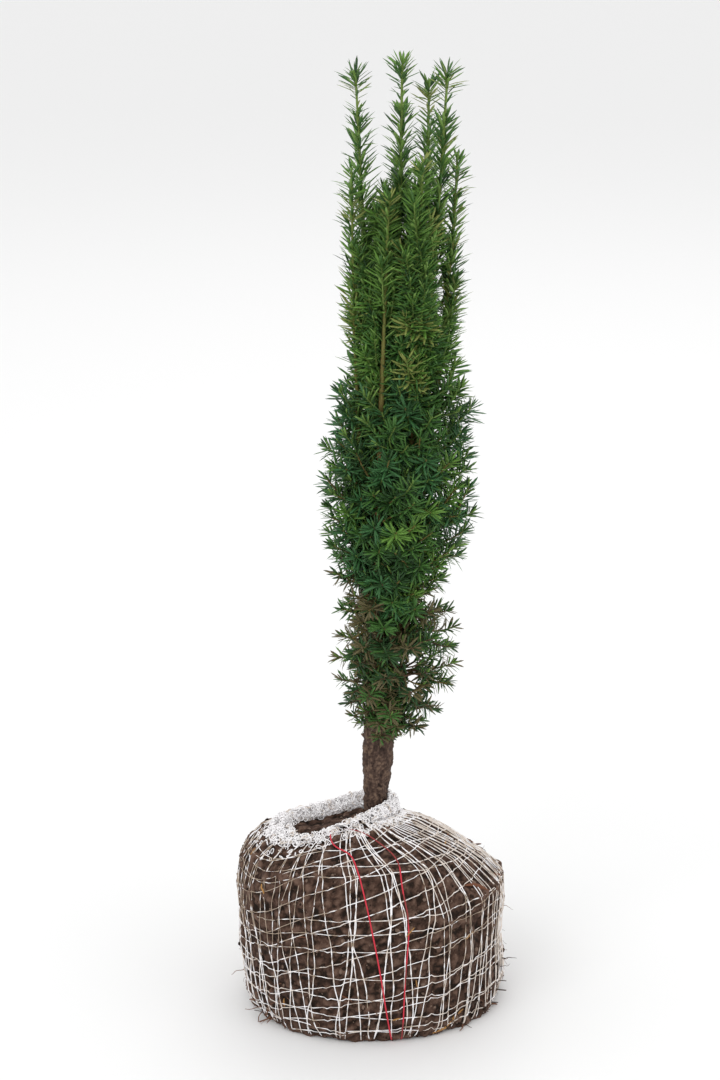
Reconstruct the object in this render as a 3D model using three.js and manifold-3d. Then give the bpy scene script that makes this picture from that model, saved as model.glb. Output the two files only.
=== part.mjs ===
// A columnar yew sapling: one short trunk that forks into ten upright leaders, clothed in needles almost
// to the ground, standing on a ball of soil wrapped in knitted net.
// Millimetres, +Z up, the front faces -Y. The origin is the middle of the root ball's flat underside.

import * as THREE from 'three';
import { mergeVertices } from 'three/addons/utils/BufferGeometryUtils.js';
import Module from 'manifold-3d';

const wasm = await Module();
wasm.setup();

// Clear space left between neighbouring solids, and how coarsely a cut solid is tidied.
const GAP = 0.35;
const MASS_GAP = 0.8;
const TIDY = 0.02;
const MASS_TIDY = 0.3;
const MERGE = 0.001;

// Root ball: upright sides to the waist, and above it a dome that slumps to the right and to the back.
// Left of the trunk the dome has a dip, and beyond it a high shoulder.
const BALL_HALF_WIDTH = 125;
const BALL_HALF_DEPTH = 116;
const BALL_WAIST = 115;
const BALL_RISE = 72;
const BALL_DROP = 160;
const BALL_ROUND_ABOVE = 2.5;
const BALL_ROUND_BELOW = 5.5;
const BALL_FOOT_ROUNDING = 2;
const BALL_FOOT_EDGE = 12;
const BALL_LEFT_RISE = 0.1;
const BALL_RIGHT_SLUMP = 0.0037;
const BALL_BACK_SLUMP = 0.45;
const BALL_BACK_FROM = 5;
const BALL_DIP = 15;
const BALL_DIP_AT = -58;
const BALL_DIP_REACH = 34;
const BALL_SHIFT = -3;
const BALL_LUMPS = 4;
const BALL_SIDES = 24;
const BALL_RINGS = 11;

// Collar of gathered net: a long loop on top of the ball. Its left end lies flat and broad on the
// shoulder, and it narrows to the right, where it stands up round the trunk.
const COLLAR_CENTRE = [-33, -12];
const COLLAR_HALF_LENGTH = 55;
const COLLAR_HALF_WIDTH = 26;
const COLLAR_TAPER = 0.4;
const COLLAR_LEFT_SPREAD = 1.6;
const COLLAR_RIGHT_RISE = 0.4;
const COLLAR_BACK_RISE = 0.5;
const COLLAR_TURN = THREE.MathUtils.degToRad(20);
const COLLAR_SQUARENESS = 3;
const COLLAR_HALF_HEIGHT = 8;
const COLLAR_HALF_THICK = 5;
const COLLAR_SIDES = 22;

// Trunk: a slim foot in a shallow pocket of the ball, swelling to the fork.
const TRUNK_FOOT = 180;
const TRUNK_TOP = 290;
const TRUNK_DEPTH = 6;
const TRUNK_AT_FOOT = 3;
const TRUNK_AT_TOP = 12;
const TRUNK_RADII = [11.2, 11, 11.6, 12.6, 13.8, 14, 14.6, 15.6, 15.4, 9.5];
const TRUNK_LUMPS = 0.07;
const TRUNK_SIDES = 12;

// Leaders: they swing out from the fork and then climb almost straight up.
const LEADER_SWING = 1.3;
const LEADER_TIP_RADIUS = 0.9;
const LEADER_SIDES = 5;
const LEADER_STEPS = 7;
const FORK_SPREAD = 8.5;
const LEADERS = [
  { name: 'middle', from: 'trunk', height: 268, tip: [40, 0, 886], radius: 5.2, bow: -1 },
  { name: 'left', from: 'trunk', height: 262, tip: [-1, 10, 878], radius: 4.8, bow: 6 },
  { name: 'right', from: 'trunk', height: 266, tip: [79, -8, 880], radius: 5, bow: -4 },
  { name: 'front', from: 'trunk', height: 262, tip: [26, -30, 778], radius: 4.8, bow: -5 },
  { name: 'back', from: 'trunk', height: 266, tip: [20, 40, 748], radius: 4.4, bow: -4 },
  { name: 'far_left', from: 'left', height: 350, tip: [-6, -14, 797], radius: 3, bow: -3 },
  { name: 'far_right', from: 'right', height: 370, tip: [87, 12, 801], radius: 3.2, bow: 2 },
  { name: 'right_back', from: 'middle', height: 420, tip: [63, 22, 864], radius: 3, bow: 5 },
  { name: 'middle_front', from: 'right', height: 470, tip: [56, -32, 806], radius: 2.6, bow: -3 },
  { name: 'back_right', from: 'back', height: 340, tip: [62, 44, 722], radius: 3, bow: 4 },
];

// Crown axis: its x at the foot and at the top of the foliage, straightening as it rises.
const CROWN_FOOT = 250;
const CROWN_TOP = 800;
const CROWN_AXIS_FOOT = 13;
const CROWN_AXIS_TOP = 41;
const CROWN_AXIS_CURVE = 0.8;

// Tiers of foliage: in each, four uneven masses stand round the leaders.
const TIERS = [
  { name: 'low', low: 255, high: 446, spread: 21, half: 30 },
  { name: 'mid', low: 382, high: 640, spread: 34, half: 33 },
  { name: 'high', low: 558, high: 782, spread: 27, half: 26.5 },
];
const QUARTERS = { front: -90, left: 180, right: 0, back: 90 };
const TIER_STAGGER = 16;
const MASS_SIDES = 9;
const MASS_RINGS = 6;
const MASS_FULLNESS = 0.4;
const MASS_SKEW = 0.9;
const MASS_LUMPS = 0.13;

// Tufts: the brush of needles round the end of each leader, with a thin neck under a tall leader's tip.
const TUFT_OVER_TIP = 7;
const TUFT_HALF = 16;
const TUFT_SHORT = 92;
const TUFT_TALL = 138;
const TUFT_TALL_FROM = 850;
const TUFT_NECK_AT = 0.66;
const TUFT_NECK_DEPTH = 0.62;
const TUFT_NECK_WIDTH = 0.1;
const TUFT_SIDES = 7;
const TUFT_RINGS = 8;

const LOOKS = {
  soil: { color: 0x53463b, roughness: 0.95, metalness: 0 },
  net: { color: 0xe6dfd3, roughness: 0.8, metalness: 0 },
  bark: { color: 0x4a3a30, roughness: 0.9, metalness: 0 },
  shoot: { color: 0x7a6a32, roughness: 0.7, metalness: 0 },
  foliage: { color: 0x355d34, roughness: 0.6, metalness: 0 },
};

const mix = THREE.MathUtils.lerp;
const steps = (count) => Array.from({ length: count + 1 }, (_, i) => i / count);

// Smooth unevenness between -1 and 1 over a surface, different for each seed.
function unevenness(seed, angle, height) {
  const broad = Math.sin(2 * angle + 1.3 * seed + 1.1 * height);
  const fine = Math.sin(3 * angle - 2.3 * height + 2.9 * seed);
  const small = Math.sin(5 * angle + 3.7 * height + 4.1 * seed);
  return 0.45 * broad + 0.35 * fine + 0.2 * small;
}

// A closed body of revolution about +Z. The profile runs from the bottom to the top, axis to axis.
function turned(profile, sides) {
  const points = profile.map(([radius, height]) => new THREE.Vector2(radius, height));
  return new THREE.LatheGeometry(points, sides).rotateX(Math.PI / 2);
}

function reshape(geometry, place) {
  const position = geometry.getAttribute('position');
  for (let i = 0; i < position.count; i += 1) {
    const point = new THREE.Vector3().fromBufferAttribute(position, i);
    const radius = Math.hypot(point.x, point.y);
    const angle = Math.atan2(point.y, point.x);
    position.setXYZ(i, ...place(radius < MERGE ? 0 : radius, angle, point.z));
  }
  return geometry;
}

function solidOf(geometry) {
  geometry.deleteAttribute('normal');
  geometry.deleteAttribute('uv');
  const merged = mergeVertices(geometry, MERGE);
  const corners = merged.getIndex().array;
  const triangles = [];
  for (let i = 0; i < corners.length; i += 3) {
    const [a, b, c] = corners.slice(i, i + 3);
    if (a !== b && b !== c && c !== a) {
      triangles.push(a, b, c);
    }
  }
  const vertProperties = merged.getAttribute('position').array;
  const triVerts = new Uint32Array(triangles);
  return new wasm.Manifold(new wasm.Mesh({ numProp: 3, vertProperties, triVerts }));
}

function largestPiece(solid, tidy = TIDY) {
  const pieces = solid.simplify(tidy).decompose();
  return pieces.reduce((best, piece) => (piece.volume() > best.volume() ? piece : best));
}

function meshOf(name, solid, look) {
  const { vertProperties, triVerts } = solid.getMesh();
  const geometry = new THREE.BufferGeometry();
  geometry.setAttribute('position', new THREE.BufferAttribute(vertProperties, 3));
  geometry.setIndex(new THREE.BufferAttribute(triVerts, 1));
  geometry.computeVertexNormals();
  const mesh = new THREE.Mesh(geometry, new THREE.MeshStandardMaterial(LOOKS[look]));
  mesh.name = name;
  return mesh;
}

// Root ball

function ballShare(height) {
  if (height >= BALL_WAIST) {
    const up = Math.min((height - BALL_WAIST) / BALL_RISE, 1);
    return (1 - up ** BALL_ROUND_ABOVE) ** (1 / BALL_ROUND_ABOVE);
  }
  const down = (BALL_WAIST - height) / BALL_DROP;
  const side = (1 - down ** BALL_ROUND_BELOW) ** (1 / BALL_ROUND_BELOW);
  const edge = Math.max(1 - height / BALL_FOOT_EDGE, 0) ** 2;
  return side - (edge * BALL_FOOT_ROUNDING) / BALL_HALF_WIDTH;
}

function slump(x, y) {
  const dip = BALL_DIP * Math.exp(-(((x - BALL_DIP_AT) / BALL_DIP_REACH) ** 2) - (y / BALL_DIP_AT) ** 2);
  const sideways = x < 0 ? -BALL_LEFT_RISE * x : -BALL_RIGHT_SLUMP * x ** 2;
  return sideways - BALL_BACK_SLUMP * Math.max(y - BALL_BACK_FROM, 0) - dip;
}

function ballTopAt(x, y) {
  const share = Math.min(Math.hypot((x - BALL_SHIFT) / BALL_HALF_WIDTH, y / BALL_HALF_DEPTH), 1);
  const rise = (1 - share ** BALL_ROUND_ABOVE) ** (1 / BALL_ROUND_ABOVE);
  return BALL_WAIST + (BALL_RISE + slump(x, y)) * rise;
}

function rootBall(grow) {
  const profile = steps(BALL_RINGS).map((t) => {
    const height = (BALL_WAIST + BALL_RISE) * Math.sin((t * Math.PI) / 2) ** 1.25;
    return [ballShare(height), height];
  });
  profile.unshift([0, 0]);
  return solidOf(reshape(turned(profile, BALL_SIDES), (share, angle, height) => {
    const lump = 1 + (BALL_LUMPS / BALL_HALF_WIDTH) * unevenness(3, angle, height / 45);
    const x = Math.cos(angle) * share * (BALL_HALF_WIDTH * lump + grow) + BALL_SHIFT;
    const y = Math.sin(angle) * share * (BALL_HALF_DEPTH * lump + grow);
    const up = Math.max(height - BALL_WAIST, 0) / BALL_RISE;
    return [x, y, height + slump(x, y) * up + (height > 0 ? grow : 0)];
  }));
}

// Collar

function netCollar() {
  const section = steps(6).map((t) => {
    const turn = 2 * Math.PI * t;
    return [1 + 0.5 * Math.cos(turn), Math.sin(turn)];
  });
  return solidOf(reshape(turned(section, COLLAR_SIDES), (radius, angle, height) => {
    const power = 2 / COLLAR_SQUARENESS;
    const along = Math.sign(Math.cos(angle)) * Math.abs(Math.cos(angle)) ** power;
    const across = Math.sign(Math.sin(angle)) * Math.abs(Math.sin(angle)) ** power;
    const spread = 1 + COLLAR_LEFT_SPREAD * Math.max(-Math.cos(angle), 0) ** 2;
    const out = 2 * (radius - 1) * COLLAR_HALF_THICK * (1 + 0.2 * unevenness(8, angle, 0));
    const width = COLLAR_HALF_WIDTH * (1 - COLLAR_TAPER * Math.max(Math.cos(angle), 0));
    const u = along * (COLLAR_HALF_LENGTH + out * spread);
    const v = across * (width + out);
    const x = COLLAR_CENTRE[0] + u * Math.cos(COLLAR_TURN) - v * Math.sin(COLLAR_TURN);
    const y = COLLAR_CENTRE[1] + u * Math.sin(COLLAR_TURN) + v * Math.cos(COLLAR_TURN);
    const stand = 1 + COLLAR_BACK_RISE * Math.sin(angle) + COLLAR_RIGHT_RISE * Math.cos(angle);
    const rise = COLLAR_HALF_HEIGHT * (stand + 0.15 * unevenness(5, angle, 1));
    return [x, y, ballTopAt(x, y) + rise * (height + 0.35)];
  }));
}

// Trunk and leaders

function trunkCentre(height) {
  const t = THREE.MathUtils.clamp((height - TRUNK_FOOT) / (TRUNK_TOP - TRUNK_FOOT), 0, 1);
  return [mix(TRUNK_AT_FOOT, TRUNK_AT_TOP, t ** 1.6), TRUNK_DEPTH];
}

function trunk(grow) {
  const last = TRUNK_RADII.length - 1;
  const profile = TRUNK_RADII.map((radius, i) => [radius, mix(TRUNK_FOOT, TRUNK_TOP, i / last)]);
  profile.unshift([0, TRUNK_FOOT]);
  profile.push([0, TRUNK_TOP + 2]);
  return solidOf(reshape(turned(profile, TRUNK_SIDES), (radius, angle, height) => {
    const lump = 1 + TRUNK_LUMPS * unevenness(2, angle, height / 22);
    const reach = radius > 0 ? radius * lump + grow : 0;
    const [x, y] = trunkCentre(height);
    const end = height === TRUNK_FOOT ? -grow : grow;
    return [x + Math.cos(angle) * reach, y + Math.sin(angle) * reach, height + end];
  }));
}

function leaderFoot(leader, paths) {
  if (leader.from !== 'trunk') {
    return paths[leader.from](leader.height);
  }
  const [x, y] = trunkCentre(leader.height);
  const away = Math.atan2(leader.tip[1] - y, leader.tip[0] - CROWN_AXIS_TOP);
  const spread = leader.name === 'middle' ? 0 : FORK_SPREAD;
  return [x + spread * Math.cos(away), y + spread * Math.sin(away)];
}

function leaderPath(leader, paths) {
  const [footX, footY] = leaderFoot(leader, paths);
  const [tipX, tipY, tipZ] = leader.tip;
  return (height) => {
    const t = THREE.MathUtils.clamp((height - leader.height) / (tipZ - leader.height), 0, 1);
    const swing = 1 - (1 - t) ** LEADER_SWING;
    return [mix(footX, tipX, swing) + leader.bow * Math.sin(Math.PI * t), mix(footY, tipY, swing)];
  };
}

function leaderSolid(leader, path, grow) {
  const [, , top] = leader.tip;
  const profile = steps(LEADER_STEPS).map((t) => {
    return [mix(leader.radius, LEADER_TIP_RADIUS, t), mix(leader.height, top, t)];
  });
  profile.unshift([0, leader.height]);
  profile.push([0, top + 2]);
  return solidOf(reshape(turned(profile, LEADER_SIDES), (radius, angle, height) => {
    const reach = radius > 0 ? radius + grow : 0;
    const [x, y] = path(height);
    const end = height > top ? 2 * grow : 0;
    return [x + Math.cos(angle) * reach, y + Math.sin(angle) * reach, height + end];
  }));
}

// Foliage

function crownAxis(height) {
  const t = THREE.MathUtils.clamp((height - CROWN_FOOT) / (CROWN_TOP - CROWN_FOOT), 0, 1);
  return mix(CROWN_AXIS_FOOT, CROWN_AXIS_TOP, t ** CROWN_AXIS_CURVE);
}

// A closed, uneven spindle between two heights. The centre gives [x, y] at a height, the girth the share
// of the half width at a fraction of the way up.
function spindle({ low, high, half, centre, girth, sides, rings, seed }, grow) {
  const profile = steps(rings).map((t) => [girth(t), t]);
  profile[0][0] = 0;
  profile[rings][0] = 0;
  return solidOf(reshape(turned(profile, sides), (share, angle, t) => {
    const lump = 1 + MASS_LUMPS * unevenness(seed, angle, 5 * t);
    const reach = share > 0 ? share * half * lump + grow : 0;
    const height = mix(low, high, t);
    const [x, y] = centre(height);
    return [x + Math.cos(angle) * reach, y + Math.sin(angle) * reach, height + grow * (2 * t - 1)];
  }));
}

function massSpecs() {
  const specs = [];
  TIERS.forEach((tier, level) => {
    Object.entries(QUARTERS).forEach(([side, degrees], turn) => {
      const seed = 1 + specs.length * 1.7;
      const shift = TIER_STAGGER * Math.sin(seed * 2.3);
      const heading = THREE.MathUtils.degToRad(degrees + 9 * level);
      const low = tier.low + shift * (level === 0 ? 0.35 : 1);
      const high = tier.high + shift;
      const girth = (t) => Math.sin(Math.PI * t ** MASS_SKEW) ** MASS_FULLNESS;
      const centre = (height) => {
        const t = (height - low) / (high - low);
        const out = tier.spread * (0.75 + 0.25 * Math.sin(Math.PI * t));
        return [crownAxis(height) + out * Math.cos(heading), out * Math.sin(heading)];
      };
      const half = tier.half * (1 + 0.05 * Math.cos(seed + turn));
      specs.push({
        name: `foliage_${tier.name}_${side}`,
        low, high, half, centre, girth, seed,
        sides: MASS_SIDES,
        rings: MASS_RINGS,
      });
    });
  });
  return specs;
}

function tuftSpecs(paths) {
  return LEADERS.map((leader, i) => {
    const high = leader.tip[2] + TUFT_OVER_TIP;
    const tall = leader.tip[2] > TUFT_TALL_FROM;
    const neck = (t) => TUFT_NECK_DEPTH * Math.exp(-(((t - TUFT_NECK_AT) / TUFT_NECK_WIDTH) ** 2));
    const girth = (t) => Math.sin(Math.PI * t ** 0.95) ** 0.5 * (1 - (tall ? neck(t) : 0));
    return {
      name: `tuft_${leader.name}`,
      low: high - (tall ? TUFT_TALL : TUFT_SHORT),
      high,
      half: TUFT_HALF,
      centre: paths[leader.name],
      girth,
      seed: 31 + 1.3 * i,
      sides: TUFT_SIDES,
      rings: TUFT_RINGS,
    };
  });
}

// Assembly: what carries is placed first, and each later solid is cut clear of all the earlier ones.
const sapling = new THREE.Group();
let taken = trunk(GAP);

sapling.add(meshOf('trunk', trunk(0), 'bark'));
sapling.add(meshOf('root_ball', rootBall(0).subtract(taken), 'soil'));
sapling.add(meshOf('net_collar', largestPiece(netCollar().subtract(rootBall(GAP)).subtract(taken)), 'net'));

const paths = {};
LEADERS.forEach((leader) => {
  paths[leader.name] = leaderPath(leader, paths);
  const limb = leaderSolid(leader, paths[leader.name], 0).subtract(taken);
  sapling.add(meshOf(`leader_${leader.name}`, largestPiece(limb), 'shoot'));
  taken = taken.add(leaderSolid(leader, paths[leader.name], GAP));
});

[...massSpecs(), ...tuftSpecs(paths)].forEach((spec) => {
  const mass = largestPiece(spindle(spec, 0).subtract(taken), MASS_TIDY);
  sapling.add(meshOf(spec.name, mass, 'foliage'));
  taken = taken.add(spindle(spec, MASS_GAP));
});

export default sapling;
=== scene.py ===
import math

import bpy
import numpy as np
from mathutils import Matrix, Vector
from mathutils.bvhtree import BVHTree
from mathutils.kdtree import KDTree


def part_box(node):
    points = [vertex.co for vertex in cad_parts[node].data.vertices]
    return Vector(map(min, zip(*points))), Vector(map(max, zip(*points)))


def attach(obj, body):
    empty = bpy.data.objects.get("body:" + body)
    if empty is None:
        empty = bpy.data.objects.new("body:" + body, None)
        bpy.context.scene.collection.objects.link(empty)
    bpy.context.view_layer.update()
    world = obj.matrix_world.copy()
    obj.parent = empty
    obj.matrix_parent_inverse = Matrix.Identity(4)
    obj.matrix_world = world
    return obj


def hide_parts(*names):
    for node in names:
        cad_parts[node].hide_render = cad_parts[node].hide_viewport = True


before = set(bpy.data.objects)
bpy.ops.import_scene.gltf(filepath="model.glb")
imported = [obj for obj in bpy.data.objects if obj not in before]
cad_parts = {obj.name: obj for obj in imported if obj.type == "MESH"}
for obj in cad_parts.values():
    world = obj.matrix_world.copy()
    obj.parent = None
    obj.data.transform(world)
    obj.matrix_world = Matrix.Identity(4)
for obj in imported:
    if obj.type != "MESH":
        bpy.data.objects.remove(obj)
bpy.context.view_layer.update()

# ---- Studio --------------------------------------------------------------------------------------
# A white floor that runs out of view, a bright even surround and three broad lamps, which together
# leave hardly any shadow. The camera stands in front of the plant and looks down on it.
CAMERA_PLACE = (-0.006, -2.555, 1.28)
CAMERA_DOWN = math.radians(18)
CAMERA_ROLL = math.radians(-1.3)
CAMERA_SENSOR = 36
CAMERA_LENS = 98.8
CAMERA_REACH = 100
FLOOR_SIZE = 60
# Each lamp's place, size and watts.
LAMPS = {
    "key": ((-1.5, -2.2, 2.6), 2.0, 26),
    "fill": ((2.0, -1.6, 1.5), 2.0, 8),
    "back": ((0.4, 2.2, 2.6), 2.4, 14),
}
SURROUND = "#ffffff"
SURROUND_STRENGTH = 0.97
AIM = Vector((0.02, 0, 0.42))


def linear(colour):
    """An sRGB hex colour as linear RGBA."""
    shares = [int(colour[i:i + 2], 16) / 255 for i in (1, 3, 5)]
    return [s / 12.92 if s <= 0.04045 else ((s + 0.055) / 1.055) ** 2.4 for s in shares] + [1.0]


def start_material(name, colour, roughness, **sockets):
    """A Principled material of one plain colour, and its node tree and shader."""
    material = bpy.data.materials.new(name)
    material.use_nodes = True
    shader = material.node_tree.nodes["Principled BSDF"]
    shader.inputs["Base Color"].default_value = linear(colour)
    shader.inputs["Roughness"].default_value = roughness
    for socket, value in sockets.items():
        shader.inputs[socket.replace("_", " ")].default_value = value
    return material, material.node_tree, shader


bpy.ops.object.select_all(action="DESELECT")
bpy.ops.mesh.primitive_plane_add(size=FLOOR_SIZE)
floor = bpy.context.object
floor.name = "studio_floor"
floor.data.materials.append(start_material("matt_white_board", "#f0f0f0", 0.7)[0])

for name, (place, size, watts) in LAMPS.items():
    bpy.ops.object.light_add(type="AREA", location=place)
    lamp = bpy.context.object
    lamp.name = f"lamp_{name}"
    lamp.rotation_euler = (AIM - Vector(place)).to_track_quat("-Z", "Y").to_euler()
    lamp.data.size = size
    lamp.data.energy = watts
    lamp.visible_camera = False

world = bpy.data.worlds.new("bright_surround")
bpy.context.scene.world = world
world.use_nodes = True
world.node_tree.nodes["Background"].inputs["Color"].default_value = linear(SURROUND)
world.node_tree.nodes["Background"].inputs["Strength"].default_value = SURROUND_STRENGTH
bpy.context.scene.view_settings.view_transform = "Standard"

bpy.ops.object.camera_add()
camera = bpy.context.object
camera.name = "camera"
turn = Matrix.Rotation(math.pi / 2 - CAMERA_DOWN, 4, "X") @ Matrix.Rotation(CAMERA_ROLL, 4, "Z")
camera.matrix_world = Matrix.Translation(CAMERA_PLACE) @ turn
camera.data.sensor_width = CAMERA_SENSOR
camera.data.lens = CAMERA_LENS
camera.data.clip_end = CAMERA_REACH
bpy.context.scene.camera = camera

# ---- Root ball -----------------------------------------------------------------------------------
# A ball of field soil held together by fine roots, cut out with a spade: clods and crumbs over its
# sides, pressed flat underneath. It is worked from the CAD solid, remeshed fine and given relief.
MM = 0.001
BALL_GRID = 2.3 * MM
CLOD = 21 * MM
CLUMP = 9 * MM
CRUMB = 3.5 * MM
SOIL_RELIEF = [("CLOUDS", CLOD, 9 * MM), ("VORONOI", CLUMP, -2.6 * MM), ("CLOUDS", CRUMB, 1.8 * MM)]
SOIL_LEVEL = 0.6
SOIL_ROUNDS = 12
HOLLOW_SPREAD = 5
MERGE_GAP = 0.01 * MM
SOIL_DARK = "#20160f"
SOIL_MID = "#433027"
SOIL_PALE = "#675145"


def activate(piece):
    """Selects one piece alone."""
    bpy.ops.object.select_all(action="DESELECT")
    piece.select_set(True)
    bpy.context.view_layer.objects.active = piece


def cad_copy(node, name):
    """A copy of a CAD node's solid with its loose triangles merged, as the start of a piece."""
    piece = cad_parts[node].copy()
    piece.data = piece.data.copy()
    piece.name = piece.data.name = name
    for key in list(piece.keys()):
        del piece[key]
    piece.parent = None
    piece.data.materials.clear()
    bpy.context.scene.collection.objects.link(piece)
    activate(piece)
    bpy.ops.object.mode_set(mode="EDIT")
    bpy.ops.mesh.select_all(action="SELECT")
    bpy.ops.mesh.remove_doubles(threshold=MERGE_GAP)
    bpy.ops.object.mode_set(mode="OBJECT")
    return piece


def apply_modifier(piece, kind, **settings):
    """Adds a modifier with its settings and applies it."""
    activate(piece)
    modifier = piece.modifiers.new(kind.lower(), kind)
    for name, value in settings.items():
        setattr(modifier, name, value)
    bpy.ops.object.modifier_apply(modifier=modifier.name)


def add_relief(piece, layers, level=0.5):
    """Displaces a piece by layers of (texture kind, size of its lumps, height). level is the grey
    that stays where it was."""
    for kind, size, height in layers:
        texture = bpy.data.textures.new("relief", kind)
        texture.noise_scale = size
        if kind == "CLOUDS":
            texture.noise_depth = 2
        apply_modifier(piece, "DISPLACE", texture=texture, texture_coords="LOCAL", strength=height,
                       mid_level=level)


def corners_of(piece):
    """A piece's vertices as an array."""
    points = np.empty(len(piece.data.vertices) * 3)
    piece.data.vertices.foreach_get("co", points)
    return points.reshape(-1, 3)


def mark_hollows(piece, rounds):
    """Stores how deep each point lies in the relief, from 0 on a crest to 1 in a hollow, against
    the piece smoothed by that many rounds."""
    points = corners_of(piece)
    activate(piece)
    bpy.ops.object.duplicate()
    smooth = bpy.context.object
    apply_modifier(smooth, "SMOOTH", factor=0.5, iterations=rounds)
    normals = np.empty(len(points) * 3)
    smooth.data.vertices.foreach_get("normal", normals)
    height = ((points - corners_of(smooth)) * normals.reshape(-1, 3)).sum(1)
    bpy.data.objects.remove(smooth)
    share = np.clip(0.5 - height / (HOLLOW_SPREAD * height.std()), 0, 1)
    piece.data.attributes.new("hollow", "FLOAT", "POINT").data.foreach_set("value", share)


def add_node(tree, kind, inputs=None, stops=(), **settings):
    """A shader node with its settings. Each input is a value, or a socket to link it to. stops are
    a colour ramp's places and colours, in order."""
    node = tree.nodes.new(kind)
    for index, (position, colour) in enumerate(stops):
        elements = node.color_ramp.elements
        element = elements[index] if index < 2 else elements.new(position)
        element.position = position
        element.color = linear(colour)
    for name, value in settings.items():
        setattr(node, name, value)
    for name, value in (inputs or {}).items():
        if isinstance(value, bpy.types.NodeSocket):
            tree.links.new(value, node.inputs[name])
        else:
            node.inputs[name].default_value = value
    return node


ball = cad_copy("root_ball", "root_ball_soil")
apply_modifier(ball, "REMESH", mode="VOXEL", voxel_size=BALL_GRID)
add_relief(ball, SOIL_RELIEF, SOIL_LEVEL)
# Marks the hollows, where the soil's colour is darkened below as painted shade.
mark_hollows(ball, SOIL_ROUNDS)
points = corners_of(ball)
points[:, 2] = np.maximum(points[:, 2], 0)
ball.data.vertices.foreach_set("co", points.ravel())
activate(ball)
bpy.ops.object.shade_smooth()

# Damp loam: matt, with painted shade that darkens its hollows, so that its crests show paler.
soil, tree, shader = start_material("damp_loam_painted_hollow_shade", SOIL_MID, 0.95, Specular_IOR_Level=0.25)
place = add_node(tree, "ShaderNodeTexCoord").outputs["Object"]
patches = add_node(tree, "ShaderNodeTexNoise", {"Vector": place, "Scale": 1 / (11 * MM), "Detail": 8})
grains = add_node(tree, "ShaderNodeTexNoise", {"Vector": place, "Scale": 1 / (1.6 * MM), "Detail": 3})
hollow = add_node(tree, "ShaderNodeAttribute", attribute_name="hollow")
# Painted shade: the hollow mark takes colour away in the soil's hollows.
blend = add_node(tree, "ShaderNodeMath", {0: patches.outputs["Fac"], 1: hollow.outputs["Fac"]},
                 operation="SUBTRACT")
mottle = add_node(tree, "ShaderNodeMath", {0: grains.outputs["Fac"], 1: 0.55, 2: blend.outputs[0]},
                  operation="MULTIPLY_ADD")
shades = add_node(tree, "ShaderNodeValToRGB", {"Fac": mottle.outputs[0]},
                  stops=((0, SOIL_DARK), (0.3, SOIL_MID), (0.75, SOIL_PALE)))
tree.links.new(shades.outputs["Color"], shader.inputs["Base Color"])
bump = add_node(tree, "ShaderNodeBump", {"Height": grains.outputs["Fac"], "Strength": 0.6,
                                         "Distance": 0.8 * MM})
tree.links.new(bump.outputs["Normal"], shader.inputs["Normal"])
ball.data.materials.append(soil)
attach(ball, "root")
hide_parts("root_ball")

# ---- Crumbs, fine roots and straw ----------------------------------------------------------------
# Loose crumbs sit on the ball, hair-fine roots curl out of it, and a few bits of straw and bark lie
# in its skin. Each kind is one mesh of many small closed shapes of a few faces.
CRUMB_COUNT = 3000
CRUMB_SIZES = (0.7 * MM, 2.6 * MM)
CRUMB_BURY = 0.3
ROOT_COUNT = 170
ROOT_STEPS = 9
ROOT_SIDES = 4
ROOT_LENGTHS = (6 * MM, 21 * MM)
ROOT_RADII = (0.25 * MM, 0.7 * MM)
ROOT_TAPER = (1, 0.35)
ROOT_LEVEL = 20 * MM
ROOT_BAND = 30 * MM
ROOT_SIDE = 55 * MM
ROOT_ELSEWHERE = 0.025
# Thicker cut roots stick out of the foot in tufts, from an oval just inside the ball. These sizes
# are in millimetres and degrees.
STUB_COUNT = 26
STUB_AZIMUTHS = (208, 222, 310, 328, 342)
STUB_OVAL = (113, 103)
STUB_SHIFT = -3
STUB_HEIGHTS = (4, 24)
STUB_RISES = (-0.5, 0.25)
STUB_LENGTHS = (14, 26)
STUB_RADII = (0.5, 1.3)
STUB_TAPER = (1, 0.5)
STRAW_COUNT = 28
STRAW_STEPS = 4
STRAW_SIDES = 6
STRAW_LENGTHS = (4 * MM, 11 * MM)
STRAW_RADII = (0.4 * MM, 1 * MM)
STRAW_TAPER = np.array([0.7, 1, 1, 0.6])
# Three splinters of bark that lie across the foot and the right shoulder, in millimetres.
SPLINTERS = [[(50, -98, 4), (60, -92, 8), (70, -86, 13), (82, -78, 21)],
             [(84, -70, 141), (92, -65, 137), (100, -60, 132), (107, -55, 125)],
             [(110, -24, 134), (114, -18, 128), (117, -12, 122), (119, -6, 116)]]
SPLINTER_RADII = np.array([(0.8, 2, 1.6, 0.6), (0.9, 1.8, 2, 0.8), (0.7, 1.7, 1.5, 0.6)]) * MM
SPLINTER_TONES = [0, 1, 1]
UP = np.array([0.0, 0.0, 1.0])
random = np.random.default_rng(41)


def unit(vectors):
    """Vectors at a length of 1."""
    return vectors / np.maximum(np.linalg.norm(vectors, axis=-1, keepdims=True), 1e-12)


def between(limits, shares):
    """Values between two limits, by shares from 0 to 1."""
    return limits[0] + (limits[1] - limits[0]) * shares


def surface_samples(piece, count, keep):
    """Seeded random points spread evenly over a piece's surface, with their normals. keep gives
    each face's share from its centre and normal."""
    piece.data.calc_loop_triangles()
    corners = np.empty(len(piece.data.loop_triangles) * 3, int)
    piece.data.loop_triangles.foreach_get("vertices", corners)
    a, b, c = (corners_of(piece)[corners.reshape(-1, 3)[:, i]] for i in range(3))
    cross = np.cross(b - a, c - a)
    share = np.linalg.norm(cross, axis=1) * keep((a + b + c) / 3, unit(cross))
    chosen = random.choice(len(share), count, p=share / share.sum())
    u, v = random.random((2, count, 1))
    fold = u + v > 1
    u, v = np.where(fold, 1 - u, u), np.where(fold, 1 - v, v)
    return a[chosen] + u * (b - a)[chosen] + v * (c - a)[chosen], unit(cross[chosen])


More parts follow.
